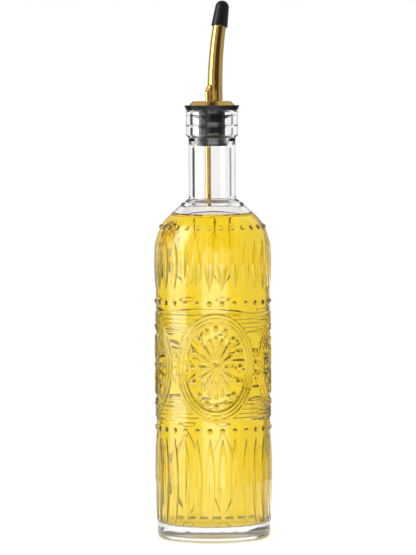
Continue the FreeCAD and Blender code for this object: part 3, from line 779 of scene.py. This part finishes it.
# =====================================================================================================
# Studio: world, lamps, floor, card and camera
# =====================================================================================================
def studio_world():
    """White for the camera, and a plain level in diffuse light. Mirrored rays and rays that come through
    glass each see a painted studio in place of the white: a tall softbox on the left, a dark room behind the
    camera and a bright table in front of it, and behind the object white between dark bands at the sides and
    below the line of sight. The limits of these areas were set for the camera of this scene."""
    world = bpy.data.worlds.new("studio")
    bpy.context.scene.world = world
    nodes = Nodes(world)
    where = nodes.tree.nodes.new("ShaderNodeTexCoord")
    split = nodes.tree.nodes.new("ShaderNodeSeparateXYZ")
    nodes.put(split.inputs[0], where.outputs["Generated"])
    x, y, z = split.outputs
    azimuth = nodes.math("DEGREES", nodes.math("ARCTAN2", x, nodes.math("MULTIPLY", y, -1.0)))
    height = nodes.math("DEGREES", nodes.math("ARCSINE", z))
    side = nodes.math("ABSOLUTE", azimuth)

    below = nodes.ramp(height, *BODY_LEVEL, 1.0, 0.0)
    upright = nodes.window(height, *SOFTBOX_HEIGHT, 2.0)
    softbox = nodes.math("MULTIPLY", nodes.window(azimuth, *SOFTBOX_AZIMUTH, 1.5), upright)
    wide = nodes.math("MAXIMUM", below, nodes.ramp(azimuth, *SOFTBOX_NECK_EDGE))
    softbox = nodes.math("MULTIPLY", softbox, wide)
    room = nodes.math("MULTIPLY", nodes.window(azimuth, *ROOM_AZIMUTH, 3.0), nodes.ramp(height, *BODY_LEVEL))
    table = nodes.math("MULTIPLY", nodes.window(azimuth, *TABLE_AZIMUTH, 9.0), below)
    ceiling = nodes.ramp(height, *CEILING_HEIGHT)
    front = nodes.mix_number(below, *FRONT_LEVELS)
    front = nodes.mix_number(nodes.math("MAXIMUM", room, ceiling), front, ROOM_LEVEL)
    front = nodes.mix_number(table, front, TABLE_LEVEL)
    front = nodes.mix_number(softbox, front, nodes.mix_number(below, *SOFTBOX_LEVELS))

    wings = nodes.math("MULTIPLY", nodes.window(side, *WINGS_SIDE, 6.0), below)
    mirrored = nodes.mix_number(wings, front, WINGS_LEVEL)
    high = nodes.math("MULTIPLY", nodes.window(height, *HIGH_HEIGHT, 2.0), nodes.ramp(side, *HIGH_SIDE))
    mirrored = nodes.mix_number(high, mirrored, HIGH_LEVEL)

    left_neck, left_body = (nodes.ramp(azimuth, *edge) for edge in (LEFT_NECK_EDGE, LEFT_BODY_EDGE))
    left = nodes.mix_number(below, left_neck, left_body)
    right_neck, right_body = (nodes.ramp(azimuth, *edge) for edge in (RIGHT_NECK_EDGE, RIGHT_BODY_EDGE))
    right = nodes.mix_number(below, right_neck, right_body)
    behind = nodes.mix_number(nodes.ramp(azimuth, -1.0, 1.0), left, right)
    flag = nodes.math("MULTIPLY", nodes.window(height, *FLAG_HEIGHT, 1.5), nodes.ramp(side, *FLAG_SIDE))
    behind = nodes.mix_number(flag, behind, FLAG_LEVEL)
    through = nodes.math("MINIMUM", front, nodes.mix_number(below, *THROUGH_MOST))
    seen = nodes.mix_number(nodes.ramp(side, *BACK_SIDE), through, behind)
    seen = nodes.mix_number(nodes.ramp(height, *STEEP_HEIGHT, 1.0, 0.0), seen, STEEP_LEVEL)

    path = nodes.tree.nodes.new("ShaderNodeLightPath")
    strength = nodes.mix_number(path.outputs["Is Glossy Ray"], DIFFUSE_LEVEL, mirrored)
    strength = nodes.mix_number(path.outputs["Is Transmission Ray"], strength, seen)
    strength = nodes.mix_number(path.outputs["Is Camera Ray"], strength, WHITE)
    background = nodes.tree.nodes.new("ShaderNodeBackground")
    background.inputs["Color"].default_value = (1.0, 1.0, 1.0, 1.0)
    nodes.put(background.inputs["Strength"], strength)
    out = nodes.tree.nodes.new("ShaderNodeOutputWorld")
    nodes.put(out.inputs["Surface"], background.outputs[0])


def area_lamp(name, place, size, power):
    """A softbox that lights the object and isn't seen in it. It points at the middle of the bottle."""
    lamp = bpy.data.lights.new(name, "AREA")
    lamp.shape = "RECTANGLE"
    lamp.size, lamp.size_y = size
    lamp.energy = power
    holder = bpy.data.objects.new(name, lamp)
    bpy.context.scene.collection.objects.link(holder)
    holder.location = place
    holder.rotation_mode = "QUATERNION"
    holder.rotation_quaternion = (LAMP_AIM - Vector(place)).to_track_quat("-Z", "Y")
    holder.visible_glossy = False
    holder.visible_transmission = False


def make_floor():
    """A round floor just under the foot."""
    turns = [2 * math.pi * n / FLOOR_SIDES for n in range(FLOOR_SIDES)]
    vertices = [(0.0, 0.0, FLOOR_Z)]
    vertices += [(FLOOR_R * math.cos(turn), FLOOR_R * math.sin(turn), FLOOR_Z) for turn in turns]
    faces = [(0, n + 1, (n + 1) % FLOOR_SIDES + 1) for n in range(FLOOR_SIDES)]
    floor = new_object("floor", vertices, faces, floor_material())


def make_card():
    """A white card behind the shoulder, which only the light that comes through the bottle shows."""
    material = bpy.data.materials.new("white_card")
    nodes = Nodes(material)
    glow = nodes.tree.nodes.new("ShaderNodeEmission")
    colour = nodes.mix_color(nodes.noise(14.0, 2.0), (0.99, 0.99, 0.99, 1.0), (1.0, 1.0, 1.0, 1.0))
    nodes.put(glow.inputs["Color"], colour)
    out = nodes.tree.nodes.new("ShaderNodeOutputMaterial")
    nodes.put(out.inputs["Surface"], glow.outputs[0])
    low, high = CARD_Z
    corners = [(-CARD_HALF_W, CARD_Y, low), (CARD_HALF_W, CARD_Y, low),
               (CARD_HALF_W, CARD_Y, high), (-CARD_HALF_W, CARD_Y, high)]
    card = new_object("card", corners, [(0, 1, 2, 3)], material)
    card.visible_camera = card.visible_diffuse = card.visible_glossy = card.visible_shadow = False
    card.visible_volume_scatter = False


def make_camera():
    """The camera of the photo, a little left of -Y and above the bottle's middle."""
    data = bpy.data.cameras.new("camera")
    data.lens = LENS_MM
    data.clip_start, data.clip_end = CLIP
    camera = bpy.data.objects.new("camera", data)
    bpy.context.scene.collection.objects.link(camera)
    flat = Vector((math.sin(CAMERA_AZIMUTH), -math.cos(CAMERA_AZIMUTH), 0)) * CAMERA_DISTANCE
    camera.location = flat + Vector((0, 0, CAMERA_EYE_Z))
    look = (AIM - camera.location).to_track_quat("-Z", "Y")
    camera.rotation_mode = "QUATERNION"
    camera.rotation_quaternion = look @ Quaternion((0, 0, 1), CAMERA_ROLL)
    bpy.context.scene.camera = camera


# =====================================================================================================
# The object
# =====================================================================================================
glass = see_through("clear_glass", GLASS_IOR, (1.0, 1.0, 1.0), GLASS_SHADE, GLASS_BUMP, GLASS_BUMP_SCALE)
oil_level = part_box("oil")[1].z
oil = see_through("olive_oil", OIL_IOR, OIL_COLOUR, OIL_SHADE, 0.0, 40.0,
                  specular=(*OIL_SPECULAR, oil_level - OIL_SHINE_DROP),
                  density=OIL_DENSITY, depth_colour=OIL_DEPTH_COLOUR)
gold = gold_material()
rubber = rubber_material()

foot_glass = see_through("stippled_glass", GLASS_IOR, (0.96, 0.96, 0.99), GLASS_SHADE, GLASS_BUMP,
                         GLASS_BUMP_SCALE, roughness=0.5)
bottle = make_bottle(glass, foot_glass)
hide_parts("bottle")
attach(bottle, "root")

liquid = make_oil(oil)
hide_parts("oil")
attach(liquid, "root")

FINISHES = {"stopper": rubber, "cap": rubber, "spout_plate": gold, "spout": gold, "vent_tube": gold}
for node, material in FINISHES.items():
    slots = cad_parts[node].data.materials
    slots.clear()
    slots.append(material)

make_floor()
make_card()
studio_world()
area_lamp("key", (-0.75, -0.55, 0.75), (0.7, 0.9), 7.0)
area_lamp("fill", (0.9, -0.5, 0.6), (0.8, 0.8), 3.0)
area_lamp("back", (0.35, 0.9, 0.7), (0.8, 0.6), 4.0)
make_camera()

bpy.context.scene.view_settings.view_transform = "Standard"
